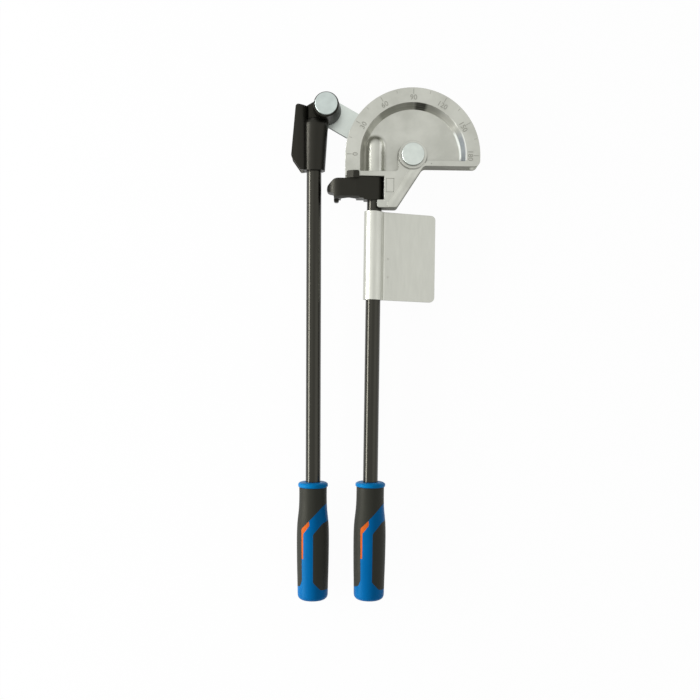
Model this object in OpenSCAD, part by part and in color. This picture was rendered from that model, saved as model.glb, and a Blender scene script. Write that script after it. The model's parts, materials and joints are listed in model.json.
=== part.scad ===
// Two-handled lever pipe bender, lying on its back with the scale upwards.
// Working frame: the bend centre is the origin, the fixed handle runs along -Y
// and Z = 0 is the middle plane of the tube. in_row_frame() sets it on its rest surface.

/* [Tube and former] */
// Outside diameter of the tube that the tool bends
tube_d = 16; // [12:0.5:20]
// Radius of the bend at the tube's centre line
bend_r = 68; // [64:0.5:74]
// Radial play of the tube in its grooves
tube_play = 0.1; // [0.05:0.05:0.3]
// How far the flanges reach past the tube's centre line
flange_lip = 4; // [1:0.5:6]
// Thickness of each flange beside the groove
flange_wall = 4; // [3:0.25:5]
// Width of the graduated ring, from its rim to the pocket
ring_w = 15.7; // [13:0.1:18]
// Inward run of the pocket's sloped wall
pocket_run = 5.8; // [2:0.1:7]
// Thickness of the web between the front and back pockets
web_t = 6; // [4:0.5:9]
// Radius of the hub around the centre pin
hub_r = 15; // [13.5:0.5:17]
// Height of the hub's front above the graduated ring
hub_rise = 2; // [1.75:0.25:3]
// Depth of the pocket's lower left corner under the bend centre
pocket_drop = 17.8; // [15:0.1:20]
// Thickness of the wall under the pocket's left side
strip_h = 5; // [3.5:0.5:7]
// Run of the groove past the end of the scale
end_run = 11.5; // [8:0.5:14]
// Thickness of the wall under the pocket's right side
end_wall = 5.5; // [4:0.5:7]
// Height of the leg's foot under the hook
foot_h = 7.8; // [6:0.5:11]
// Width of the leg's foot
foot_w = 21; // [18:0.5:24]
// Height of the leg's slanted rib above its face
rib_rise = 1.5; // [0.5:0.25:1.75]
// Width of the leg's slanted rib
rib_w = 11; // [8:0.5:13]

/* [Link and pins] */
// Distance from the bend centre to the lever pin
link_len = 106.5; // [104:0.5:112]
// Angle of the link at rest, from +X
link_angle = 150.9; // [148:0.1:154]
// Width of the link bar
link_w = 29; // [26:0.5:31]
// Thickness of the link bar
link_t = 5; // [4:0.5:7]
// Shank diameter of both pins
pin_d = 12; // [10:0.5:13]
// Head diameter of both pins
pin_head_d = 24; // [20:0.5:26]
// Head thickness of both pins
pin_head_t = 4; // [3:0.25:6]
// Thickness of the retaining rings
ring_t = 1; // [0.8:0.1:1.5]
// Thickness of the washers between the link and the castings
washer_t = 1; // [0.6:0.1:1.5]

/* [Lever head] */
// Angle of the parked lever to the fixed handle
park_angle = 0.65; // [0:0.05:1]
// Radius of the pin boss at its back
boss_r = 15.5; // [14.5:0.5:17]
// Taper of the pin boss from its back to its front
boss_draft = 2.1; // [1:0.1:3.2]
// Front of the pin boss above the tube plane
boss_front = 16; // [14:0.5:18]
// Distance of the lever tube beside the pin
lever_offset = 13.4; // [12:0.1:15]
// Distance from the pin to the open end of the socket
head_len = 68.5; // [64:0.5:76]
// Wall of the shoe between its groove and the lever tube
shoe_wall = 2; // [1.5:0.25:4]
// Reach of the shoe's lips past the groove's axis beside the pin
shoe_lip = 1.2; // [0.5:0.1:2]
// Reach of the shoe's lips past the groove's axis at their knee
shoe_flare = 6.2; // [4:0.1:8]
// Wall of the lever's socket at its mouth
lever_socket_wall = 3.8; // [3:0.1:4.5]
// Growth of the lever's socket in radius, from its mouth to the boss
socket_swell = 2; // [0.5:0.1:3]

/* [Handles] */
// Diameter of both handle tubes
rod_d = 16; // [14:0.5:18]
// Wall of both handle tubes
rod_wall = 1.5; // [1:0.25:2.5]
// Distance of the fixed tube beside the bend centre
rod_offset = 40; // [38:0.5:42]
// Distance from the bend centre to the top of the fixed grip
fixed_reach = 351.3; // [300:0.5:420]
// Distance from the lever pin to the top of the lever grip
lever_reach = 403.9; // [350:0.5:460]
// Wall of the former's socket for the fixed tube
fixed_socket_wall = 2.3; // [2:0.1:3.5]
// Fillet round the socket on the floor of the pockets
socket_fillet = 5.5; // [1:0.5:7]
// Depth of the fixed tube in the former
fixed_socket = 31; // [24:1:36]
// Depth of the lever tube in its head
lever_socket = 46; // [34:1:48]
// Diameter of the spring pins that hold the tubes
spring_pin_d = 5; // [3:0.5:6]
// Wall of the spring pins
spring_pin_wall = 0.8; // [0.5:0.1:1.2]

/* [Grips] */
// Length of a grip
grip_len = 127; // [110:0.5:150]
// Largest radius of a grip
grip_r = 17.35; // [15.5:0.05:19]
// Radius of the grip's waist
waist_r = 14.85; // [13.5:0.05:15.5]
// Radius of the collar
collar_r = 16.1; // [15:0.1:18]
// Height of the collar
collar_h = 7.7; // [6:0.1:10]
// Thickness of the soft cover
cover_t = 2.2; // [1.2:0.1:3]
// Thickness of the accent stripe
stripe_t = 1.2; // [0.8:0.1:2]
// Turn of the fixed grip round its tube
grip_turn = 7; // [-10:0.5:10]

/* [Tube hook] */
// Length of the hook's hub along the fixed tube
hook_len = 25; // [22:0.5:28]
// Radius of the hook's hub
hook_hub_r = 9.7; // [9.5:0.1:11]
// Thickness of the hook's nose outside the tube
nose_w = 15.5; // [10:0.5:17]
// Front of the hook's arm above the tube plane
arm_front = 12.7; // [12:0.1:13.5]
// Reach of the hook's stop over the graduated ring
stop_reach = 5.2; // [4:0.1:8]
// Thickness of the hook's stop
stop_t = 4.5; // [3:0.25:5]
// Width of the hook's stop
stop_w = 13.5; // [10:0.1:14]

/* [Vice plate] */
// Sheet thickness of the folded vice plate
sheet_t = 2.75; // [1:0.25:3.5]
// Length of the vice plate along the fixed tube
plate_len = 95; // [80:1:110]
// Reach of the vice plate from the fixed tube's axis
plate_reach = 65.9; // [50:0.1:80]
// Gap between the former's foot and the vice plate
plate_gap = 3.5; // [1:0.1:5]
// Slant of the vice plate's upper end
upper_slant = 3.6; // [0:0.1:5]
// Slant of the vice plate's lower end
lower_slant = 2; // [0:0.1:4]
// Corner radius of the vice plate
plate_corner = 5; // [2:0.5:10]

/* [Fits] */
// Play of pieces that turn or slide on each other
run_play = 0.05; // [0.02:0.01:0.1]
// Play of pieces that pass each other
side_play = 0.3; // [0.2:0.05:0.6]

/* [Hidden] */
$fn = 96;
eps = 1;
corner_steps = 6;

tube_r = tube_d / 2;
groove_r = tube_r + tube_play;
former_t = tube_d + 2 * flange_wall;
face = former_t / 2;
flange_r = bend_r + flange_lip;
pocket_r = flange_r - ring_w;
pocket_depth = (former_t - web_t) / 2;
floor_r = pocket_r - pocket_run;
notch_top = -(pocket_drop + strip_h);
notch_bottom = notch_top - hook_len - 2 * side_play;
leg_bottom = notch_bottom - foot_h;
leg_left = -rod_offset + hook_hub_r + side_play;
// The foot wraps this far over the side of the fixed tube
cradle_lip = 5.4;
foot_left = -rod_offset + rod_d / 2 - cradle_lip;
foot_right = foot_left + foot_w;
// Where the leg's slanted side meets the wall under the pocket
leg_top_right = 12;
pocket_step = -hub_r;
flange_corner = 6;
leg_corner = 4;
foot_corner = 2.5;

link_front = -face - washer_t - 2 * run_play;
link_back = link_front - link_t;
tail_end = 1.1;
pin_end = link_back - ring_t - 2 * run_play - tail_end;
lever_pin = link_len * [cos(link_angle), sin(link_angle)];
pin_r = pin_d / 2;
head_round = 0.8;

rod_r = rod_d / 2;
fixed_socket_r = rod_r + fixed_socket_wall;
mouth_r = rod_r + lever_socket_wall;
shoe_x = -(lever_offset + rod_r + shoe_wall + tube_r);
shoe_half = tube_r + flange_wall;
shoe_top = 1.8;
// Share of the shoe's length at which its lips are deepest
shoe_knee = 0.8;
shoe_knee_y = shoe_top - shoe_knee * (shoe_top + head_len);
// The socket leans towards the boss and ends in a rounded dome under it
socket_lean = 1.8;
dome_y = -0.73 * boss_r;
dome_round = 9;
// Front of the low web that ties the boss, the socket and the shoe
web_front = tube_r / 4;
// Height of the notch between the shoe and the boss
web_notch = 0.6;
// Depth of the spring pins' ends in the socket walls
pin_sink = 1.2;
// Bare stretch of each handle tube's end inside its grip
grip_floor = 11;
fixed_rod_top = notch_top + fixed_socket;
lever_rod_top = -head_len + lever_socket;
// Lower ends of the handle tubes, inside the grips
fixed_rod_low = -fixed_reach - grip_len + grip_floor + side_play;
lever_rod_low = -lever_reach - grip_len + grip_floor + side_play;
fixed_pin_y = notch_top + fixed_socket / 2;
lever_pin_y = -head_len + 0.63 * lever_socket;

hook_tube_x = -(bend_r - rod_offset);
hook_bottom = notch_bottom + side_play;
hook_reach = -hook_tube_x + groove_r + nose_w;
// The nose is round, and the jaw behind it hangs down beside the pipe
nose_r = 0.98 * nose_w;
nose_x = -hook_reach + nose_r;
jaw_t = nose_w / 2;
jaw_x = hook_tube_x - groove_r - jaw_t;
jaw_z = -tube_r - 1;
arm_rise_x = hook_tube_x + groove_r;
arm_low = 0.064 * hook_len;
arm_top = 0.9 * hook_len;
nose_low = 0.27 * hook_len;
nose_high = 0.58 * hook_len;
stop_left = hook_tube_x - 2.3;
sleeve_r = rod_r + run_play + sheet_t;
plate_top = leg_bottom - plate_gap;
leaf_half = sheet_t + run_play;
// Seam where the two leaves meet: its depth, and half its width at the edge
seam_depth = 1;
seam_half = 0.4;

// Points of a polygon with rounded corners; a radius of 0 keeps the corner
function unit(v) = v / norm(v);
function cross_z(a, b) = a[0] * b[1] - a[1] * b[0];
function corner_arc(before, at, after, r) =
  let (
    u = unit(before - at),
    v = unit(after - at),
    half = acos(u * v) / 2,
    reach = r / tan(half),
    middle = at + unit(u + v) * r / sin(half),
    start = at + u * reach - middle,
    turn = (180 - 2 * half) * sign(cross_z(-u, v))
  )
  [for (i = [0:corner_steps])
    let (a = turn * i / corner_steps)
    middle + [start[0] * cos(a) - start[1] * sin(a), start[0] * sin(a) + start[1] * cos(a)]];
function rounded(points, radii) =
  let (n = len(points))
  [for (i = [0:n - 1])
    each radii[i] > 0
      ? corner_arc(points[(i + n - 1) % n], points[i], points[(i + 1) % n], radii[i])
      : [points[i]]];

// Smooth curve through knots, as points [along, radius]
function spline(p0, p1, p2, p3, t) =
  0.5 * (2 * p1 + (p2 - p0) * t + (2 * p0 - 5 * p1 + 4 * p2 - p3) * t * t
    + (3 * p1 - p0 - 3 * p2 + p3) * t * t * t);
function through(knots, steps) =
  let (n = len(knots))
  [for (i = [0:n - 2]) for (s = [0:steps - 1])
    spline(knots[max(i - 1, 0)], knots[i], knots[i + 1], knots[min(i + 2, n - 1)], s / steps),
    knots[n - 1]];

// Placement
x_low = lever_pin[0] + shoe_x - shoe_flare;
y_low = min(-fixed_reach, lever_pin[1] - lever_reach) - grip_len;
module in_row_frame() {
  translate([-(x_low + flange_r) / 2, -(y_low + flange_r) / 2, -pin_end]) children();
}
module at_lever() {
  translate([lever_pin[0], lever_pin[1], 0]) rotate(park_angle) children();
}
// Extrudes an XZ section along Y, from y0 up to y1
module along_y(y0, y1) {
  translate([0, y1, 0]) rotate([90, 0, 0]) linear_extrude(y1 - y0) children();
}
// Extrudes a YZ section along X, from x0 up to x1
module along_x(x0, x1) {
  translate([x0, 0, 0]) rotate([90, 0, 90]) linear_extrude(x1 - x0) children();
}

// Former
module rod_socket() {
  end_y = fixed_rod_top + side_play + fixed_socket_wall;
  along_y(notch_top, end_y) translate([-rod_offset, 0]) circle(fixed_socket_r);
  translate([-rod_offset, end_y, 0]) sphere(fixed_socket_r);
  along_y(notch_top, end_y) translate([-rod_offset, 0]) for (side = [0, 1]) mirror([side, 0]) socket_foot();
  translate([-rod_offset, end_y, 0]) rotate_extrude(angle = 180) socket_foot();
}
// Half section of the socket's concave foot on the pocket's floor, which ends inside the socket
module socket_foot() {
  low = web_t / 2;
  reach = sqrt(pow(fixed_socket_r + socket_fillet, 2) - pow(low + socket_fillet, 2));
  middle = [reach, low + socket_fillet];
  inside = 0.95 * fixed_socket_r * unit(middle);
  sweep = 0.85 * (90 - atan2(middle[1], middle[0]));
  steps = 6;
  arc = [for (i = [0:steps]) middle - socket_fillet * [sin(sweep * i / steps), cos(sweep * i / steps)]];
  polygon(concat([[0, 0], [reach, 0]], arc, [inside, [0, inside[1]]]));
}
module hub() {
  translate([0, 0, -face]) cylinder(r = hub_r, h = former_t + hub_rise);
}
module pocket_outline() {
  above = flange_r + eps;
  polygon(rounded(
    [[-above, -pocket_drop], [pocket_step, -pocket_drop], [pocket_step, 0], [0, -end_run + end_wall],
     [above, -end_run + end_wall], [above, above], [-above, above]],
    [0, 4, 0, 0, 0, 0, 0]));
}
// Front pocket: sloped along the ring, upright elsewhere
module pocket() {
  slope = pocket_run / pocket_depth;
  low = web_t / 2;
  high = face + eps;
  wide = pocket_r + slope * eps;
  intersection() {
    union() {
      intersection() {
        translate([0, 0, low]) cylinder(r1 = floor_r, r2 = wide, h = high - low);
        translate([-wide, 0, low]) cube([2 * wide, wide, high - low]);
      }
      along_y(-pocket_drop - eps, 0)
        polygon([[-floor_r, low], [floor_r, low], [wide, high], [-wide, high]]);
    }
    linear_extrude(high) pocket_outline();
  }
}
module tube_groove() {
  rotate_extrude(angle = 180) groove_section();
  along_y(notch_top - eps, 0) mirror([1, 0]) groove_section();
  along_y(-end_run - eps, 0) groove_section();
}
module groove_section() {
  translate([bend_r, 0]) circle(groove_r);
  translate([bend_r, -groove_r]) square([flange_lip + eps, 2 * groove_r]);
}
module former_outline() {
  overlap = 2;
  intersection() {
    circle(flange_r);
    translate([-flange_r, -overlap]) square([2 * flange_r, flange_r + overlap]);
  }
  translate([-flange_r, notch_top]) square([flange_r + leg_left + overlap, -notch_top]);
  leg_outline();
}
// Leg under the hub, with the wall under the pocket's right side
module leg_outline() {
  polygon(rounded(
    [[leg_left, notch_bottom], [foot_left, notch_bottom], [foot_left, leg_bottom], [foot_right, leg_bottom],
     [leg_top_right, -end_run], [flange_r, -end_run], [flange_r, 0], [leg_left, 0]],
    [0, 1, foot_corner, leg_corner, 5, flange_corner, 0, 0]));
}
// Low crowned rib along the leg's slanted side, from the foot to the hub
module rib() {
  slant = unit([leg_top_right - foot_right, -end_run - leg_bottom]);
  crown_r = (pow(rib_w / 2, 2) + pow(rib_rise, 2)) / (2 * rib_rise);
  start = [foot_right, leg_bottom] + rib_w / 2 * [-slant[1], slant[0]] - leg_corner * slant;
  intersection() {
    translate([start[0], start[1], face + rib_rise - crown_r]) rotate(atan2(slant[1], slant[0]))
      rotate([0, 90, 0]) cylinder(r = crown_r, h = -start * slant);
    linear_extrude(face + rib_rise + eps) leg_outline();
  }
}
module former() {
  color("silver") difference() {
    union() {
      difference() {
        translate([0, 0, -face]) linear_extrude(former_t) former_outline();
        for (side = [0, 1]) mirror([0, 0, side]) difference() {
          pocket();
          hub();
          rod_socket();
        }
      }
      hub();
      rib();
    }
    tube_groove();
    translate([0, 0, -face - eps]) cylinder(r = pin_r + run_play, h = former_t + hub_rise + 2 * eps);
    along_y(leg_bottom - eps, fixed_rod_top + side_play)
      translate([-rod_offset, 0]) circle(rod_r + run_play);
    translate([-rod_offset, fixed_pin_y, 0]) spring_pin_hole();
  }
}

// Pins, rings and washers
module headed_pin(seat) {
  groove_top = link_back - run_play;
  groove_low = groove_top - ring_t - run_play;
  groove_in = pin_r - 0.5;
  top = seat + run_play;
  head = rounded(
    [[0, top], [pin_head_d / 2, top], [pin_head_d / 2, top + pin_head_t], [0, top + pin_head_t]],
    [0, 0, head_round, 0]);
  rotate_extrude() {
    polygon(head);
    polygon([[0, top + head_round], [0, pin_end], [pin_r - 0.6, pin_end], [pin_r, pin_end + 0.6],
      [pin_r, groove_low], [groove_in, groove_low], [groove_in, groove_top], [pin_r, groove_top],
      [pin_r, top + head_round]]);
  }
}
// Open retaining ring with two eyes, in the pin's groove
module retaining_ring() {
  inner = pin_r - 0.5 + run_play;
  outer = pin_r + 2.2;
  eye_r = 1.9;
  eye_turn = 24;
  translate([0, 0, link_back - run_play - ring_t]) linear_extrude(ring_t) difference() {
    union() {
      circle(outer);
      for (side = [-1, 1]) rotate(side * eye_turn) translate([0, -outer]) circle(eye_r);
    }
    circle(inner);
    polygon([[0, 0], 2 * outer * [-sin(12), -cos(12)], 2 * outer * [sin(12), -cos(12)]]);
    for (side = [-1, 1]) rotate(side * eye_turn) translate([0, -outer - 0.2]) circle(0.8);
  }
}
module washer() {
  translate([0, 0, -face - run_play - washer_t]) difference() {
    cylinder(r = pin_head_d / 2, h = washer_t);
    translate([0, 0, -eps]) cylinder(r = pin_r + run_play, h = washer_t + 2 * eps);
  }
}
module link_bar() {
  color("gainsboro") rotate(link_angle) translate([0, 0, link_back]) linear_extrude(link_t) difference() {
    union() {
      circle(link_w / 2);
      translate([link_len, 0]) circle(link_w / 2);
      translate([0, -link_w / 2]) square([link_len, link_w]);
    }
    for (x = [0, link_len]) translate([x, 0]) circle(pin_r + run_play);
  }
}
module at_lever_pin() {
  translate([lever_pin[0], lever_pin[1], 0]) children();
}
module centre_pin() { color("lightgray") headed_pin(face + hub_rise); }
module centre_pin_ring() { color("dimgray") rotate(-90) retaining_ring(); }
module centre_washer() { color("ivory") washer(); }
module lever_pin() { color("lightgray") at_lever_pin() headed_pin(boss_front); }
module lever_pin_ring() { color("dimgray") at_lever_pin() retaining_ring(); }
module lever_washer() { color("ivory") at_lever_pin() washer(); }

// Handle tubes and the spring pins that hold them, driven in from the back
module handle_tube(top, bottom) {
  along_y(bottom, top) difference() {
    circle(rod_r);
    circle(rod_r - rod_wall);
  }
}
module spring_pin_hole() {
  translate([0, 0, -face - eps]) cylinder(r = spring_pin_d / 2 + run_play, h = face + eps + rod_r);
}
module spring_pin() {
  slot = 1;
  translate([0, 0, -rod_r - pin_sink]) linear_extrude(2 * rod_r + pin_sink - side_play) difference() {
    circle(spring_pin_d / 2);
    circle(spring_pin_d / 2 - spring_pin_wall);
    translate([0, -slot / 2]) square([spring_pin_d, slot]);
  }
}
module fixed_tube() {
  color("black") difference() {
    translate([-rod_offset, 0, 0]) handle_tube(fixed_rod_top, fixed_rod_low);
    translate([-rod_offset, fixed_pin_y, 0]) spring_pin_hole();
  }
}
module fixed_tube_pin() { color("gray") translate([-rod_offset, fixed_pin_y, 0]) spring_pin(); }
module lever_tube() {
  color("black") at_lever() difference() {
    translate([-lever_offset, 0, 0]) handle_tube(lever_rod_top, lever_rod_low);
    translate([-lever_offset, lever_pin_y, 0]) spring_pin_hole();
  }
}
module lever_tube_pin() { color("gray") at_lever() translate([-lever_offset, lever_pin_y, 0]) spring_pin(); }

// Vice plate: one sheet folded round the fixed tube, its two leaves closed on each other
module vice_section() {
  fillet = 3;
  foot = sqrt(pow(sleeve_r + fillet, 2) - pow(leaf_half + fillet, 2));
  difference() {
    union() {
      circle(sleeve_r);
      translate([0, -leaf_half]) square([plate_reach, 2 * leaf_half]);
      difference() {
        polygon([[0, leaf_half + fillet], [0, -leaf_half - fillet], [foot, -leaf_half - fillet],
          [foot, leaf_half + fillet]]);
        for (side = [-1, 1]) translate([foot, side * (leaf_half + fillet)]) circle(fillet);
      }
    }
    circle(rod_r + run_play);
    polygon([[plate_reach - seam_depth, 0], [plate_reach, -seam_half], [plate_reach + eps, 0],
      [plate_reach, seam_half]]);
  }
}
module vice_outline() {
  low = plate_top - plate_len;
  polygon(rounded(
    [[-sleeve_r - eps, plate_top], [-sleeve_r - eps, low], [0, low],
     [plate_reach, low - plate_reach * tan(lower_slant)],
     [plate_reach, plate_top - plate_reach * tan(upper_slant)], [0, plate_top]],
    [0, 0, 0, plate_corner, plate_corner, 0]));
}
module vice_plate() {
  reach = plate_top - plate_len - plate_reach * tan(lower_slant);
  color("lightgray") translate([-rod_offset, 0, 0]) intersection() {
    along_y(reach - eps, plate_top + eps) vice_section();
    translate([0, 0, -sleeve_r - eps]) linear_extrude(2 * (sleeve_r + eps)) vice_outline();
  }
}

// Tube hook: turns on the fixed tube and drops over the pipe from the front
module hook_section() {
  mouth_x = hook_tube_x - groove_r - side_play;
  arm_back = 7;
  difference() {
    union() {
      circle(hook_hub_r);
      polygon([[0, hook_hub_r], [0, -arm_back], [arm_rise_x, -arm_back], [arm_rise_x, arm_front]]);
      translate([nose_x, 0]) square([arm_rise_x - nose_x, arm_front]);
      translate([nose_x, arm_front - nose_r]) circle(nose_r);
      translate([jaw_x, jaw_z]) square([jaw_t, arm_front - jaw_z - nose_r / 2]);
    }
    translate([hook_tube_x, 0]) circle(groove_r + side_play);
    translate([mouth_x, jaw_z - eps]) square([arm_rise_x - mouth_x, -jaw_z + eps]);
    translate([-hook_reach, jaw_z - nose_r]) square([mouth_x + hook_reach + eps, nose_r]);
  }
}
// The hook from the front
module hook_outline() {
  polygon(rounded(
    [[-hook_hub_r * 1.2, 0], [-hook_hub_r * 1.2, arm_low], [jaw_x, arm_low], [jaw_x, nose_low],
     [-hook_reach, 1.2 * nose_low], [-hook_reach, nose_high], [nose_x - 0.45 * nose_r, arm_top],
     [stop_left, arm_top], [stop_left, hook_len], [hook_hub_r, hook_len], [hook_hub_r, 0]],
    [0, 1, 1, 2, 4, 6, 8, 0, 0, 0, 0]));
}
// Stop that lies on the graduated ring and rises over the arm's upper edge, with a slanted left side
module hook_stop() {
  low = face + side_play;
  high = low + stop_t;
  end = hook_len + stop_reach;
  right = stop_left + stop_w;
  intersection() {
    linear_extrude(high) polygon(rounded(
      [[stop_left, arm_top], [right, arm_top], [right, end], [stop_left, end]],
      [0, 0, 1.5, 1.5]));
    along_y(arm_top, end) polygon([[stop_left, 0], [right, 0], [right, high],
      [stop_left + 0.54 * stop_w, high], [stop_left, low + 0.12 * stop_t]]);
    along_x(stop_left, right) polygon([[arm_top, hook_hub_r], [hook_len, hook_hub_r], [hook_len, low],
      [end, low], [end, high], [arm_top, high]]);
  }
}
module tube_hook() {
  lip_w = 5.4;
  lip_drop = 1.5;
  chamfer_end = 3;
  color([0.16, 0.16, 0.15]) translate([-rod_offset, hook_bottom, 0]) {
    difference() {
      union() {
        along_y(0, hook_len) circle(hook_hub_r);
        intersection() {
          along_y(0, hook_len) hook_section();
          translate([0, 0, jaw_z - eps]) linear_extrude(arm_front - jaw_z + 2 * eps) hook_outline();
        }
        hook_stop();
      }
      along_y(-eps, hook_len + eps) circle(rod_r + run_play);
      // Chamfer along the arm's lower front edge
      along_x(-hook_reach - eps, arm_rise_x + chamfer_end)
        polygon([[0, arm_front - 9], [4, arm_front + eps], [0, arm_front + eps]]);
    }
    // Finger lip under the jaw
    translate([jaw_x, 0, jaw_z]) linear_extrude(tube_r) polygon(rounded(
      [[0, nose_low], [0, -lip_drop], [lip_w, -lip_drop], [lip_w, nose_low]], [0, 2, 2, 0]));
  }
}

// Lever head: boss, socket and the grooved shoe in one casting
module shoe_outline() {
  polygon(rounded(
    [[shoe_x + shoe_half, web_notch - 0.5], [shoe_x - shoe_lip, shoe_top], [shoe_x - shoe_flare, shoe_knee_y],
     [shoe_x + 3.6, -head_len], [shoe_x + shoe_half, -head_len]],
    [0, 3, 6, 2, 0]));
}
// Half-round shell of the shoe with straight lips
module shoe() {
  intersection() {
    along_y(-head_len, shoe_top + eps) {
      translate([shoe_x, 0]) circle(shoe_half);
      translate([shoe_x - shoe_flare - eps, -shoe_half]) square([shoe_flare + eps, 2 * shoe_half]);
    }
    translate([0, 0, -shoe_half]) linear_extrude(2 * shoe_half) shoe_outline();
  }
}
module web_outline() {
  low = dome_y - dome_round;
  polygon([[-0.8 * boss_r, 0.45 * boss_r], [shoe_x + tube_r, web_notch], [shoe_x + tube_r, low],
    [0.1 * boss_r, low], [0.15 * boss_r, -0.84 * boss_r], [0, 0]]);
}
module lever_socket_body() {
  rise = head_len + dome_y;
  wide = 2 * mouth_r;
  intersection() {
    translate([-lever_offset, -head_len, 0]) rotate([-90, 0, -socket_lean]) rotate_extrude()
      polygon(rounded(
        [[0, -eps], [mouth_r, -eps], [mouth_r + socket_swell, rise], [0, rise]],
        [0, 0, dome_round, 0]));
    translate([-lever_offset - wide, -head_len, -face]) cube([2 * wide, head_len, face + wide]);
  }
}
module lever_head() {
  color([0.16, 0.16, 0.15]) at_lever() difference() {
    union() {
      translate([0, 0, -face]) cylinder(r1 = boss_r, r2 = boss_r - boss_draft, h = face + boss_front);
      lever_socket_body();
      translate([0, 0, -face]) linear_extrude(face + web_front) web_outline();
      shoe();
    }
    along_y(-head_len - eps, shoe_top + eps) {
      translate([shoe_x, 0]) circle(groove_r);
      translate([shoe_x - shoe_flare - eps, -groove_r]) square([shoe_flare + eps, 2 * groove_r]);
    }
    translate([0, 0, -face - eps]) cylinder(r = pin_r + run_play, h = face + boss_front + 2 * eps);
    along_y(-head_len - eps, lever_rod_top + side_play)
      translate([-lever_offset, 0]) circle(rod_r + run_play);
    translate([-lever_offset, lever_pin_y, 0]) spring_pin_hole();
  }
}

// Grip: hard core, soft cover in its recesses, accent stripe along the band
// Section of the grip, as [radius, distance from the end of the collar]
function grip_side(inset) =
  [for (p = through(
    [[collar_r - 1.2, collar_h], [waist_r, 0.16 * grip_len], [waist_r + 0.5, 0.255 * grip_len],
     [grip_r - 0.5, 0.37 * grip_len], [grip_r, 0.49 * grip_len], [grip_r - 0.3, 0.7 * grip_len],
     [grip_r - 0.8, 0.85 * grip_len], [grip_r - 1, 0.94 * grip_len]], 3)) [p[0] - inset, p[1]]];
module grip_solid() {
  bead = collar_h / 2;
  end_r = grip_r - 1;
  rotate_extrude() {
    polygon(concat([[0, collar_h]], grip_side(0), [[0, 0.94 * grip_len]]));
    polygon(rounded(
      [[0, 0], [collar_r, 0], [collar_r, collar_h], [0, collar_h]],
      [0, bead * 0.97, bead * 0.6, 0]));
    polygon(rounded([[0, 0.94 * grip_len - eps], [end_r, 0.94 * grip_len - eps],
      [end_r - 0.3, grip_len - 1.2], [0, grip_len]], [0, 0, 5, 0]));
  }
}
module grip_shell(t) {
  rotate_extrude() polygon(concat(grip_side(0), [for (i = [len(grip_side(0)) - 1:-1:0]) grip_side(t)[i]]));
}
// Both cover panels, seen from the front: a large one beside the band and one under its bend
module cover_outline() {
  wide = grip_r + 2;
  l = grip_len;
  r = grip_r;
  polygon(rounded(
    [[-wide, collar_h], [wide, collar_h], [wide, 0.175 * l], [0.59 * r, 0.222 * l], [-0.68 * r, 0.4 * l],
     [-0.635 * r, 0.82 * l], [-0.75 * r, 0.868 * l], [-wide, 0.9 * l]],
    [0, 0, 0, 4, 4, 3, 3, 0]));
  polygon(rounded(
    [[wide, 0.335 * l], [0.62 * r, 0.356 * l], [0.046 * r, 0.442 * l], [0.046 * r, 0.832 * l],
     [0.51 * r, 0.898 * l], [wide, 0.905 * l]],
    [0, 6, 3, 3, 5, 0]));
}
module stripe_outline() {
  l = grip_len;
  r = grip_r;
  polygon(rounded(
    [[-0.22 * r, 0.327 * l], [-0.68 * r, 0.4 * l], [-0.66 * r, 0.645 * l], [-0.565 * r, 0.645 * l],
     [-0.565 * r, 0.44 * l], [-0.19 * r, 0.372 * l]],
    [0.8, 3, 0.4, 0.4, 2, 1.5]));
}
module through_grip() {
  translate([0, 0, -2 * grip_r]) linear_extrude(4 * grip_r) children();
}
// Turns a grip that is drawn downwards from its collar into place under a handle tube
module at_grip(x, top) {
  translate([x, top, 0]) mirror([0, 1, 0]) children();
}
module on_grip_axis() {
  rotate([-90, 0, 0]) children();
}
module grip_cover() {
  intersection() {
    on_grip_axis() grip_shell(cover_t);
    through_grip() cover_outline();
  }
}
module grip_stripe() {
  intersection() {
    on_grip_axis() grip_shell(stripe_t);
    through_grip() difference() {
      stripe_outline();
      cover_outline();
    }
  }
}
module grip_core() {
  difference() {
    on_grip_axis() grip_solid();
    grip_cover();
    grip_stripe();
    on_grip_axis() translate([0, 0, -eps]) cylinder(r = rod_r + run_play, h = grip_len - grip_floor + eps);
  }
}
module at_fixed_grip() { at_grip(-rod_offset, -fixed_reach) rotate([0, grip_turn, 0]) children(); }
module at_lever_grip() { at_lever() at_grip(-lever_offset, -lever_reach) children(); }
module fixed_grip_core() { color("royalblue") at_fixed_grip() grip_core(); }
module fixed_grip_cover() { color([0.2, 0.2, 0.18]) at_fixed_grip() grip_cover(); }
module fixed_grip_stripe() { color("orangered") at_fixed_grip() grip_stripe(); }
module lever_grip_core() { color("royalblue") at_lever_grip() grip_core(); }
module lever_grip_cover() { color([0.2, 0.2, 0.18]) at_lever_grip() grip_cover(); }
module lever_grip_stripe() { color("orangered") at_lever_grip() grip_stripe(); }

in_row_frame() former();
in_row_frame() centre_pin();
in_row_frame() centre_pin_ring();
in_row_frame() centre_washer();
in_row_frame() fixed_tube();
in_row_frame() fixed_tube_pin();
in_row_frame() vice_plate();
in_row_frame() fixed_grip_core();
in_row_frame() fixed_grip_cover();
in_row_frame() fixed_grip_stripe();
in_row_frame() tube_hook();
in_row_frame() link_bar();
in_row_frame() lever_pin();
in_row_frame() lever_pin_ring();
in_row_frame() lever_washer();
in_row_frame() lever_head();
in_row_frame() lever_tube();
in_row_frame() lever_tube_pin();
in_row_frame() lever_grip_core();
in_row_frame() lever_grip_cover();
in_row_frame() lever_grip_stripe();
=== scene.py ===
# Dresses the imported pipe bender: materials, scale marks, light, floor and camera.
import json
import math

import bmesh
import bpy
from mathutils import Matrix, Vector


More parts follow.
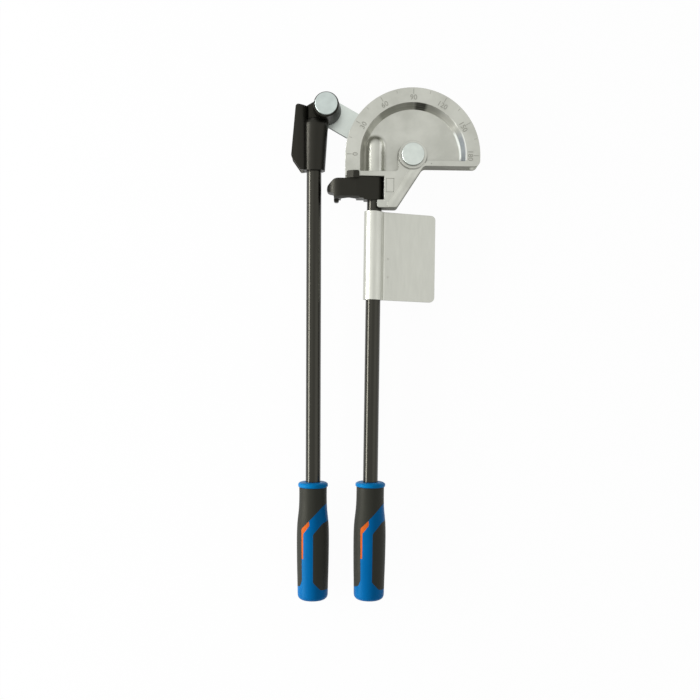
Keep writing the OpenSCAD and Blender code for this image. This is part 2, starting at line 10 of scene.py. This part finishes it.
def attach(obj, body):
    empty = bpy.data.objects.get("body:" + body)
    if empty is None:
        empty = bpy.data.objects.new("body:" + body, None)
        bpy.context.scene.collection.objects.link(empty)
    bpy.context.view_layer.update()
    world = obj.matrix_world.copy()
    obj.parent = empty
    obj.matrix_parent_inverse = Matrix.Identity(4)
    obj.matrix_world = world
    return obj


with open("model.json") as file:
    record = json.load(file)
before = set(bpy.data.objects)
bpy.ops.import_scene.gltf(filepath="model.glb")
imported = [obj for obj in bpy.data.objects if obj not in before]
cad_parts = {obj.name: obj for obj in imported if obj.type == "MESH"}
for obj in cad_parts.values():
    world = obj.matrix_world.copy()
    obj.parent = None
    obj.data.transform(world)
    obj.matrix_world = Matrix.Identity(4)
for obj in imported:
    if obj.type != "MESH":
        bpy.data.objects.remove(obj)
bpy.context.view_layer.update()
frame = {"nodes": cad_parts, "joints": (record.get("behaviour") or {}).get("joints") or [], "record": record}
nodes = frame["nodes"]
MM = 0.001

# Places that the pieces share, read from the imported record
joints = {j["name"]: j for j in frame["joints"]}
CENTRE = Vector(joints["link_swing"]["pos_m"][:2])
MID_Z = joints["lever_swing"]["pos_m"][2]
FACE_Z = MID_Z + 12 * MM
GRIP_TOP = max(v.co.y for v in nodes["lever_grip_core"].data.vertices)

# Bands on the former, as radii from the bend centre
WALL = (49.8 * MM, 57.0 * MM)
WALL_FOOT_HIGHLIGHT = (50.4 * MM, 52.3 * MM)
WALL_EDGE_HIGHLIGHT = (56.9 * MM, 57.6 * MM)
HUB_FOOT = (14.9 * MM, 16.2 * MM)
BAND_FADE = 0.3 * MM

# Rod socket in the former's pocket, across and along from the bend centre
SOCKET_X = (-50.5 * MM, -26.5 * MM)
SOCKET_Y = (-17.4 * MM, 25.0 * MM)

# Angles in degrees over which the wall goes from its polished end to its turned part
POLISH_FADE = (24, 36)

# Flatness over which an upright wall turns into a face
UPRIGHT = (0.1, 0.6)

# Noise: its own roughness, and the range that most of its values lie in
NOISE_ROUGHNESS = 0.55
NOISE_RANGE = (0.3, 0.7)

# Sockets of a colour mix node, which share their names with those of other kinds
MIX_FACTOR, MIX_A, MIX_B, MIX_RESULT = 0, 6, 7, 2

# Warm sheen of the dark paint and the soft covers, blue sheen of the grips' cores
WARM = (1.0, 0.97, 0.80, 1)
BLUE_SHEEN = (0.18, 0.85, 1.0, 1)


def linear(r, g, b):
    """A colour given as 0-255 screen values, as linear RGBA."""
    def one(c):
        c /= 255
        return c / 12.92 if c <= 0.04045 else ((c + 0.055) / 1.055) ** 2.4
    return (one(r), one(g), one(b), 1)


class Tree:
    """A material's node tree with short ways to add what is used here."""

    constants = {"metal": "Metallic", "level": "Specular IOR Level", "tint": "Specular Tint"}

    def __init__(self, name):
        self.material = bpy.data.materials.new(name)
        self.material.use_nodes = True
        self.nodes = self.material.node_tree.nodes
        self.links = self.material.node_tree.links
        self.shader = self.nodes["Principled BSDF"]
        coordinates = self.add("ShaderNodeTexCoord")
        self.place = coordinates.outputs["Object"]
        self.facing = coordinates.outputs["Normal"]

    def add(self, kind, **values):
        node = self.nodes.new(kind)
        for key, value in values.items():
            setattr(node, key, value)
        return node

    def feed(self, socket, value):
        """Links another node's output to a socket, or sets a plain value."""
        if isinstance(value, bpy.types.NodeSocket):
            self.links.new(value, socket)
        else:
            socket.default_value = value

    def set(self, **values):
        for key, value in values.items():
            self.shader.inputs[self.constants[key]].default_value = value

    def color(self, value):
        self.links.new(value, self.shader.inputs["Base Color"])

    def rough(self, value):
        self.links.new(value, self.shader.inputs["Roughness"])

    def stretched(self, scale):
        """Object coordinates multiplied by scale, for streaks."""
        node = self.add("ShaderNodeVectorMath", operation="MULTIPLY")
        self.links.new(self.place, node.inputs[0])
        node.inputs[1].default_value = scale
        return node.outputs[0]

    def noise(self, scale, detail=3, at=None):
        node = self.add("ShaderNodeTexNoise")
        node.inputs["Scale"].default_value = scale
        node.inputs["Detail"].default_value = detail
        node.inputs["Roughness"].default_value = NOISE_ROUGHNESS
        self.links.new(at or self.place, node.inputs["Vector"])
        return node.outputs["Fac"]

    def cells(self, scale):
        node = self.add("ShaderNodeTexVoronoi")
        node.inputs["Scale"].default_value = scale
        self.links.new(self.place, node.inputs["Vector"])
        return node.outputs["Distance"]

    def axis(self, vector, name):
        node = self.add("ShaderNodeSeparateXYZ")
        self.links.new(vector, node.inputs[0])
        return node.outputs[name]

    def flatness(self):
        """1 on level faces, 0 on upright walls."""
        return self.math("ABSOLUTE", self.axis(self.facing, "Z"))

    def between(self, value, low, high, out_low=0.0, out_high=1.0):
        """Goes from out_low to out_high while value goes from low to high."""
        node = self.add("ShaderNodeMapRange")
        for name, number in (("From Min", low), ("From Max", high),
                             ("To Min", out_low), ("To Max", out_high)):
            node.inputs[name].default_value = number
        self.links.new(value, node.inputs["Value"])
        return node.outputs["Result"]

    def spread(self, noise, out_low=0.0, out_high=1.0):
        """Draws a noise's usual range out to out_low and out_high."""
        return self.between(noise, *NOISE_RANGE, out_low, out_high)

    def window(self, value, low, high, soft):
        """1 between low and high, fading to 0 over soft on both sides."""
        up = self.between(value, low - soft, low + soft)
        down = self.between(value, high - soft, high + soft, 1.0, 0.0)
        return self.times(up, down)

    def mix(self, factor, a, b):
        node = self.add("ShaderNodeMix", data_type="RGBA")
        for number, value in ((MIX_FACTOR, factor), (MIX_A, a), (MIX_B, b)):
            self.feed(node.inputs[number], value)
        return node.outputs[MIX_RESULT]

    def math(self, operation, a, b=0.0):
        node = self.add("ShaderNodeMath", operation=operation)
        for socket, value in zip(node.inputs, (a, b)):
            self.feed(socket, value)
        return node.outputs[0]

    def times(self, product, *others):
        for other in others:
            product = self.math("MULTIPLY", product, other)
        return product

    def rest(self, value):
        """What value leaves of 1."""
        return self.math("SUBTRACT", 1.0, value)

    def length(self, x, y):
        return self.math("SQRT", self.math("ADD", self.times(x, x), self.times(y, y)))

    def bump(self, layers, edge=0.0):
        """Layers of (height socket, depth in mm), over edges that are eased by edge mm."""
        normal = None
        if edge:
            bevel = self.add("ShaderNodeBevel", samples=8)
            bevel.inputs["Radius"].default_value = edge * MM
            normal = bevel.outputs["Normal"]
        for height, depth in layers:
            node = self.add("ShaderNodeBump")
            node.inputs["Strength"].default_value = 1.0
            node.inputs["Distance"].default_value = depth * MM
            self.links.new(height, node.inputs["Height"])
            if normal:
                self.links.new(normal, node.inputs["Normal"])
            normal = node.outputs["Normal"]
        self.links.new(normal, self.shader.inputs["Normal"])


def shade_sides(t, level, color, dark, low, high):
    """Painted shade on upright walls: their colour goes towards dark as the face turns from level to
    upright.
    """
    return t.mix(t.between(level, low, high), dark, color)


def wall_tone(t, radius, angle):
    """Light and shade on the pocket's turned wall, by degrees round the bend centre."""
    tone = t.mix(t.between(angle, 30, 72), linear(200, 200, 193), linear(188, 188, 180))
    tone = t.mix(t.between(angle, 89, 91), tone, linear(172, 172, 163))
    tone = t.mix(t.window(angle, 75, 88, 2.0), tone, linear(84, 84, 78))
    tone = t.mix(t.window(angle, 131, 153, 2.0), tone, linear(214, 214, 206))
    tone = t.mix(t.between(angle, 154, 157), tone, linear(208, 208, 199))
    tone = t.mix(t.window(angle, 22, 33, 2.5), tone, linear(164, 164, 158))
    tone = t.mix(t.between(angle, 20, 30, 1.0, 0.0), tone, linear(138, 143, 147))
    # Fine streaks of the turning, away from the polished end
    turned = t.noise(60, 4, at=t.stretched((0.4, 0.4, 14)))
    streak = t.times(t.between(turned, 0.45, 0.75, 0.0, 0.35), t.between(angle, *POLISH_FADE))
    tone = t.mix(streak, tone, linear(226, 226, 220))
    # Painted highlight: a bright line along the wall's foot at its polished end
    foot_highlight = t.times(t.window(radius, *WALL_FOOT_HIGHLIGHT, BAND_FADE),
                        t.between(angle, 28, 33, 1.0, 0.0))
    return t.mix(foot_highlight, tone, linear(222, 225, 224))


def cast_aluminium():
    """Tumbled casting: fine grain, cloudy patches, and a turned wall round the pocket."""
    t = Tree("cast_aluminium")
    t.set(metal=1.0)
    cloud = t.noise(38, 4)
    grain = t.noise(900, 2)
    level = t.flatness()
    skin = t.mix(t.between(cloud, 0.35, 0.65), linear(178, 179, 170), linear(192, 193, 184))
    # Painted shade on the casting's upright and sloping walls
    skin = shade_sides(t, level, skin, linear(128, 128, 120), 0.7, 0.995)
    # Turned wall: an arc over the bend centre that runs on straight below it
    x = t.math("SUBTRACT", t.axis(t.place, "X"), CENTRE.x)
    y = t.math("SUBTRACT", t.axis(t.place, "Y"), CENTRE.y)
    above = t.math("MAXIMUM", y, 0.0)
    radius = t.length(x, above)
    angle = t.math("DEGREES", t.math("ARCTAN2", above, x))
    wall = t.times(t.window(radius, *WALL, BAND_FADE), t.window(level, 0.40, 0.64, 0.03))
    skin = t.mix(wall, skin, wall_tone(t, radius, angle))
    # Painted highlight: a bright line along the wall's upper edge at its polished end
    edge_highlight = t.times(t.window(radius, *WALL_EDGE_HIGHLIGHT, BAND_FADE),
                        t.between(angle, 22, 29, 1.0, 0.0),
                        t.window(y, -4.6 * MM, 60 * MM, 0.4 * MM))
    skin = t.mix(edge_highlight, skin, linear(234, 236, 231))
    # Rod socket in the pocket: a little smoother, with a painted highlight on its right-facing side
    sunk = t.between(t.axis(t.place, "Z"), FACE_Z - 1.4 * MM, FACE_Z - 0.6 * MM, 1.0, 0.0)
    socket = t.times(t.window(x, *SOCKET_X, 0.5 * MM), t.window(y, *SOCKET_Y, 0.4 * MM),
                     sunk, t.rest(wall))
    socket_highlight = t.times(t.between(t.axis(t.facing, "X"), 0.35, 0.6), socket)
    skin = t.mix(socket_highlight, skin, linear(238, 239, 230))
    # Shade on the floor round the foot of the hub
    foot = t.times(t.window(t.length(x, y), *HUB_FOOT, BAND_FADE), t.between(level, 0.9, 0.98))
    t.color(t.mix(t.times(foot, 0.7), skin, linear(112, 112, 105)))
    # Rough where it is as cast, smoother on the wall and the socket
    gloss = t.times(wall, t.between(angle, *POLISH_FADE))
    smooth = t.math("ADD", t.times(gloss, 0.04), t.times(socket, 0.02))
    plain = t.times(t.rest(wall), t.rest(socket))
    side = t.times(t.between(level, *UPRIGHT, 0.4, 0.0), plain)
    rough = t.math("ADD", t.spread(cloud, 0.44, 0.34), side)
    t.rough(t.math("SUBTRACT", rough, smooth))
    t.bump([(t.times(t.math("SUBTRACT", cloud, 0.5), plain), 0.05),
            (t.times(t.math("SUBTRACT", grain, 0.5), plain), 0.03)], edge=0.35)
    return t.material


def sheet_aluminium():
    """Rolled sheet: smooth, with very faint streaks along the handle."""
    t = Tree("sheet_aluminium")
    t.set(metal=1.0)
    streak = t.noise(60, at=t.stretched((5, 0.7, 5)))
    cloud = t.noise(30)
    skin = t.mix(t.between(streak, 0.2, 0.8), linear(187, 188, 179), linear(196, 197, 188))
    sheared = t.math("ABSOLUTE", t.axis(t.facing, "Y"))
    t.color(t.mix(t.between(sheared, 0.5, 0.9), skin, linear(118, 119, 113)))
    t.rough(t.spread(cloud, 0.33, 0.37))
    t.bump([(streak, 0.002)], edge=0.4)
    return t.material


def zinc_steel(name, low, high):
    """Bright zinc: cool, with a soft mottle between two tones."""
    t = Tree(name)
    t.set(metal=1.0)
    mottle = t.noise(140, 4)
    scratch = t.noise(90, 2, at=t.stretched((1, 14, 6)))
    level = t.flatness()
    skin = t.mix(t.spread(mottle), low, high)
    # Painted shade on the upright sides of the pins and the link
    t.color(shade_sides(t, level, skin, linear(112, 116, 113), *UPRIGHT))
    t.rough(t.math("ADD", t.spread(mottle, 0.28, 0.38), t.between(level, *UPRIGHT, 0.3, 0.0)))
    t.bump([(scratch, 0.006)], edge=0.3)
    return t.material


def spring_steel():
    """Phosphated spring steel: dark, slightly cloudy."""
    t = Tree("spring_steel")
    t.set(metal=1.0)
    cloud = t.noise(400)
    t.color(t.mix(cloud, linear(70, 70, 68), linear(100, 99, 95)))
    t.rough(t.spread(cloud, 0.34, 0.48))
    t.bump([(cloud, 0.01)], edge=0.15)
    return t.material


def nylon():
    """Natural nylon, faintly waxy."""
    t = Tree("nylon")
    cloud = t.noise(300)
    t.color(t.mix(cloud, linear(222, 220, 208), linear(234, 232, 222)))
    t.rough(t.spread(cloud, 0.42, 0.55))
    t.bump([(cloud, 0.01)], edge=0.15)
    return t.material


def black_tube():
    """Gloss stoved paint over drawn tube, with a slight orange peel."""
    t = Tree("black_tube")
    t.set(level=0.5, tint=WARM)
    peel = t.noise(260, 2)
    cloud = t.noise(25)
    t.color(t.mix(cloud, linear(6, 6, 5), linear(14, 14, 12)))
    t.rough(t.spread(cloud, 0.19, 0.23))
    t.bump([(peel, 0.0015)])
    return t.material


def black_casting():
    """Satin powder coat over a sand casting."""
    t = Tree("black_casting")
    t.set(level=0.34, tint=WARM)
    grain = t.noise(1100, 2)
    cloud = t.noise(60)
    t.color(t.mix(cloud, linear(5, 5, 4), linear(13, 13, 11)))
    t.rough(t.spread(cloud, 0.36, 0.46))
    t.bump([(cloud, 0.08), (grain, 0.03)], edge=0.7)
    return t.material


def blue_plastic():
    """Hard satin polypropylene with a fine spark-eroded grain, and painted light on the collar."""
    t = Tree("blue_plastic")
    t.set(level=0.14, tint=BLUE_SHEEN)
    grain = t.noise(1800, 2)
    cloud = t.noise(45)
    skin = t.mix(cloud, linear(1, 93, 154), linear(3, 102, 166))
    # Painted light: the collar's colour is lighter, where more light falls on it
    collar = t.between(t.axis(t.place, "Y"), GRIP_TOP - 13 * MM, GRIP_TOP - 11 * MM)
    t.color(t.mix(collar, skin, linear(4, 116, 180)))
    t.rough(t.spread(cloud, 0.38, 0.48))
    t.bump([(grain, 0.01)], edge=0.3)
    return t.material


def soft_cover():
    """Matte thermoplastic rubber with a fine moulded grain."""
    t = Tree("soft_cover")
    t.set(level=0.2, tint=WARM)
    grain = t.cells(1500)
    cloud = t.noise(45)
    t.color(t.mix(cloud, linear(36, 37, 33), linear(44, 45, 40)))
    t.rough(t.spread(cloud, 0.5, 0.6))
    t.bump([(grain, 0.03)], edge=0.3)
    return t.material


def orange_plastic():
    """Satin accent inlay."""
    t = Tree("orange_plastic")
    t.set(level=0.06)
    grain = t.noise(1800, 2)
    cloud = t.noise(90)
    t.color(t.mix(cloud, linear(200, 90, 26), linear(212, 102, 36)))
    t.rough(t.spread(cloud, 0.4, 0.52))
    t.bump([(grain, 0.01)], edge=0.2)
    return t.material


def mark_grey():
    """Dull grey of the scale's marks, the leg's frame and the ejector marks: painted shade, darker than the
    casting, for the shading of these low raised marks.
    """
    t = Tree("mark_grey")
    t.set(metal=0.6)
    cloud = t.noise(500)
    t.color(t.mix(cloud, linear(140, 140, 131), linear(160, 160, 151)))
    t.rough(t.spread(cloud, 0.5, 0.7))
    return t.material


slot_materials = {
    "cast_aluminium": cast_aluminium(),
    "sheet_aluminium": sheet_aluminium(),
    "zinc_steel": zinc_steel("zinc_steel", linear(197, 204, 198), linear(208, 215, 208)),
    "spring_steel": spring_steel(),
    "nylon": nylon(),
    "black_tube": black_tube(),
    "black_casting": black_casting(),
    "blue_plastic": blue_plastic(),
    "soft_cover": soft_cover(),
    "orange_plastic": orange_plastic(),
}
for part in frame["record"]["subparts"]:
    obj = nodes[part["node"]]
    obj.data.materials.clear()
    obj.data.materials.append(slot_materials[part["material_slot"]])
pin_zinc = zinc_steel("pin_zinc", linear(181, 190, 186), linear(192, 201, 197))
nodes["lever_pin"].data.materials[0] = pin_zinc
# Grey of painted shade for the scale's marks, the leg's frame and the ejector marks
marks = mark_grey()

# Lengths over which a grip's shift fades, below its top and above its end
TOP_FADE, END_FADE = 10.5 * MM, 86 * MM


def draw_up(grip, shift):
    """Moves a grip's coloured edges towards its collar by shift mm."""
    heights = [v.co.y for v in nodes[grip + "_core"].data.vertices]
    top, low = max(heights), min(heights)
    for part in ("_core", "_cover", "_stripe"):
        obj = nodes[grip + part]
        group = obj.vertex_groups.new(name="draw_up")
        for v in obj.data.vertices:
            share = min((top - v.co.y) / TOP_FADE, (v.co.y - low) / END_FADE, 1.0)
            group.add([v.index], max(share, 0.0), "REPLACE")
        move = obj.modifiers.new("draw_up", "DISPLACE")
        move.direction = "Y"
        move.mid_level = 0.0
        move.strength = shift * MM
        move.vertex_group = group.name


draw_up("lever_grip", 2.8)
draw_up("fixed_grip", 3.4)


def into_scene(obj):
    bpy.context.scene.collection.objects.link(obj)


def piece(name, mesh, body, material):
    obj = bpy.data.objects.new(name, mesh)
    into_scene(obj)
    mesh.materials.append(material)
    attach(obj, body)


def box_into(bm, low, high, turn=Matrix()):
    """Adds a box between two corners, given in mm from the bend centre at the former's face."""
    base = Matrix.Translation((CENTRE.x, CENTRE.y, FACE_Z)) @ turn
    size = [b - a for a, b in zip(low, high)]
    middle = [(a + b) / 2 for a, b in zip(low, high)]
    place = (Matrix.Translation([c * MM for c in middle])
             @ Matrix.Diagonal([c * MM for c in size] + [1]))
    bmesh.ops.create_cube(bm, size=1, matrix=base @ place)


def mesh_of(name, bm):
    mesh = bpy.data.meshes.new(name)
    bm.to_mesh(mesh)
    bm.free()
    return mesh


# Scale on the graduated ring: a tick every 15 degrees, a number every 30
SCALE_END, TICK_STEP, NUMBER_STEP = 180, 15, 30
TICK_OUTER, TICK_FOOT, TICK_TOP = 70.4, -0.1, 0.06
# Inner radius and half width of the ticks with a number, and of those without
LONG_TICK, SHORT_TICK = (65.1, 0.34), (67.5, 0.26)
NUMBER_RADIUS, NUMBER_SIZE, NUMBER_LIFT = 61.3 * MM, 7.8 * MM, 0.03 * MM


def tick_mesh():
    bm = bmesh.new()
    for mark in range(0, SCALE_END + 1, TICK_STEP):
        inner, half = LONG_TICK if mark % NUMBER_STEP == 0 else SHORT_TICK
        turn = Matrix.Rotation(math.radians(SCALE_END - mark), 4, "Z")
        box_into(bm, (inner, -half, TICK_FOOT), (TICK_OUTER, half, TICK_TOP), turn)
    return mesh_of("scale_ticks", bm)


def number_mesh(number, angle):
    """A number on the ring, with its foot towards the bend centre."""
    curve = bpy.data.curves.new("scale_number", "FONT")
    curve.body = str(number)
    curve.size = NUMBER_SIZE
    curve.align_x = "CENTER"
    curve.align_y = "CENTER"
    curve.extrude = 0.12 * MM
    curve.bevel_depth = 0.06 * MM
    curve.resolution_u = 3
    text = bpy.data.objects.new("scale_number", curve)
    into_scene(text)
    bpy.context.view_layer.update()
    shown = text.evaluated_get(bpy.context.evaluated_depsgraph_get())
    mesh = bpy.data.meshes.new_from_object(shown)
    bpy.data.objects.remove(text)
    bpy.data.curves.remove(curve)
    turn = Matrix.Rotation(math.radians(angle - 90), 4, "Z")
    out = Vector((math.cos(math.radians(angle)), math.sin(math.radians(angle)), 0))
    place = Vector((*CENTRE, FACE_Z + NUMBER_LIFT)) + out * NUMBER_RADIUS
    mesh.transform(Matrix.Translation(place) @ turn)
    mesh.materials.clear()
    return mesh


piece("scale_ticks", tick_mesh(), "frame", marks)
for number in range(0, SCALE_END + 1, NUMBER_STEP):
    mesh = number_mesh(number, SCALE_END - number)
    piece(f"scale_number_{number}", mesh, "frame", marks)


# Bare raised frame on the leg, ejector marks in the casting, weld marks on the vice plate
def leg_frame_mesh():
    """Four bars, in mm from the bend centre at the former's face."""
    bm = bmesh.new()
    left, right, low, high, line = -28.2, -19.6, -40.2, -25.3, 0.55
    foot, top = -0.1, 0.22
    for x0, x1, y0, y1 in ((left, right, high - line, high), (left, right, low, low + line),
                           (left, left + line, low, high), (right - line, right, low, high)):
        box_into(bm, (x0, y0, foot), (x1, y1, top))
    return mesh_of("leg_frame", bm)


def disc_mesh(name, x, y, z, radius, height):
    """Low disc, in mm from the bend centre at the tube's middle plane."""
    bm = bmesh.new()
    middle = (CENTRE.x + x * MM, CENTRE.y + y * MM, MID_Z + (z + height / 2) * MM)
    bmesh.ops.create_cone(bm, cap_ends=True, segments=24, radius1=radius * MM,
                          radius2=0.8 * radius * MM, depth=height * MM,
                          matrix=Matrix.Translation(middle))
    return mesh_of(name, bm)


# Heights over the middle plane at which the discs start, just inside the skin or on it
CASTING_SKIN, PLATE_SKIN = 11.95, 2.8

piece("leg_frame", leg_frame_mesh(), "frame", marks)
for name, x, y, radius in (("ejector_mark_leg", -26.0, -54.6, 0.6),
                           ("ejector_mark_wall", 20.0, -9.2, 0.7)):
    mesh = disc_mesh(name, x, y, CASTING_SKIN, radius, 0.1)
    piece(name, mesh, "frame", marks)
for name, y in (("weld_mark_1", -110.8), ("weld_mark_2", -130.1)):
    mesh = disc_mesh(name, -24.4, y, PLATE_SKIN, 1.1, 0.12)
    piece(name, mesh, "frame", slot_materials["sheet_aluminium"])

# Floor, just under the part
FLOOR_HALF, FLOOR_DROP = 6, 0.5 * MM
floor_mesh = bpy.data.meshes.new("floor")
corners = [(x * FLOOR_HALF, y * FLOOR_HALF, 0) for x, y in ((-1, -1), (1, -1), (1, 1), (-1, 1))]
floor_mesh.from_pydata(corners, [], [(0, 1, 2, 3)])
floor = bpy.data.objects.new("floor", floor_mesh)
floor.location.z = -FLOOR_DROP
into_scene(floor)


def seen_share(tree):
    """1 for rays from the camera, a reflection or a clear piece, 0 for all others."""
    path = tree.nodes.new("ShaderNodeLightPath")
    share = path.outputs["Is Camera Ray"]
    for kind in ("Is Glossy Ray", "Is Transmission Ray"):
        either = tree.nodes.new("ShaderNodeMath")
        either.operation = "MAXIMUM"
        tree.links.new(share, either.inputs[0])
        tree.links.new(path.outputs[kind], either.inputs[1])
        share = either.outputs[0]
    return share


def floor_material(white_share):
    """White floor: plain white by white_share where it is seen, so part of the shadow is kept."""
    material = bpy.data.materials.new("floor")
    material.use_nodes = True
    tree = material.node_tree
    tree.nodes.clear()
    out = tree.nodes.new("ShaderNodeOutputMaterial")
    diffuse = tree.nodes.new("ShaderNodeBsdfDiffuse")
    diffuse.inputs["Color"].default_value = (0.9, 0.9, 0.9, 1)
    glow = tree.nodes.new("ShaderNodeEmission")
    glow.inputs["Strength"].default_value = 1.0
    share = tree.nodes.new("ShaderNodeMath")
    share.operation = "MULTIPLY"
    share.inputs[1].default_value = white_share
    tree.links.new(seen_share(tree), share.inputs[0])
    mix = tree.nodes.new("ShaderNodeMixShader")
    tree.links.new(share.outputs[0], mix.inputs[0])
    tree.links.new(diffuse.outputs[0], mix.inputs[1])
    tree.links.new(glow.outputs[0], mix.inputs[2])
    tree.links.new(mix.outputs[0], out.inputs["Surface"])
    return material


def white_world(light, seen):
    """White surroundings, with one strength as light and another where they are seen."""
    world = bpy.data.worlds.new("studio")
    world.use_nodes = True
    tree = world.node_tree
    back = tree.nodes["Background"]
    back.inputs["Color"].default_value = (1, 1, 1, 1)
    strength = tree.nodes.new("ShaderNodeMapRange")
    strength.inputs["To Min"].default_value = light
    strength.inputs["To Max"].default_value = seen
    tree.links.new(seen_share(tree), strength.inputs["Value"])
    tree.links.new(strength.outputs["Result"], back.inputs["Strength"])
    return world


def area(name, place, target, width, height, power):
    light = bpy.data.lights.new(name, "AREA")
    light.shape = "RECTANGLE"
    light.size = width
    light.size_y = height
    light.energy = power
    obj = bpy.data.objects.new(name, light)
    obj.location = place
    obj.rotation_euler = (Vector(target) - Vector(place)).to_track_quat("-Z", "Y").to_euler()
    into_scene(obj)


floor_mesh.materials.append(floor_material(white_share=0.97))
bpy.context.scene.world = white_world(light=0.38, seen=1.0)

# Lamps: a low strip for the long highlights on the tubes, and two weak ones from above
area("strip_left", (-1.5, 0.0, 0.47), (0, 0, 0.02), width=2.0, height=0.38, power=34)
area("key_left", (-0.9, 0.6, 1.6), (0, 0.1, 0), width=1.4, height=1.4, power=2)
area("fill_right", (1.4, -0.2, 1.3), (0, 0, 0), width=1.0, height=1.4, power=2)

# Camera: straight above, placed from the bend centre, with the photograph's small roll
CAMERA_X, CAMERA_Y, CAMERA_HEIGHT = -64.04 * MM, -209.28 * MM, 1.0
CAMERA_LENS, CAMERA_SENSOR, CAMERA_ROLL = 47.62, 36, 0.83
camera_data = bpy.data.cameras.new("camera")
camera_data.lens = CAMERA_LENS
camera_data.sensor_width = CAMERA_SENSOR
camera = bpy.data.objects.new("camera", camera_data)
camera.location = (CENTRE.x + CAMERA_X, CENTRE.y + CAMERA_Y, MID_Z + CAMERA_HEIGHT)
camera.rotation_euler = (0, 0, math.radians(CAMERA_ROLL))
into_scene(camera)
bpy.context.scene.camera = camera
bpy.context.scene.view_settings.view_transform = "Standard"
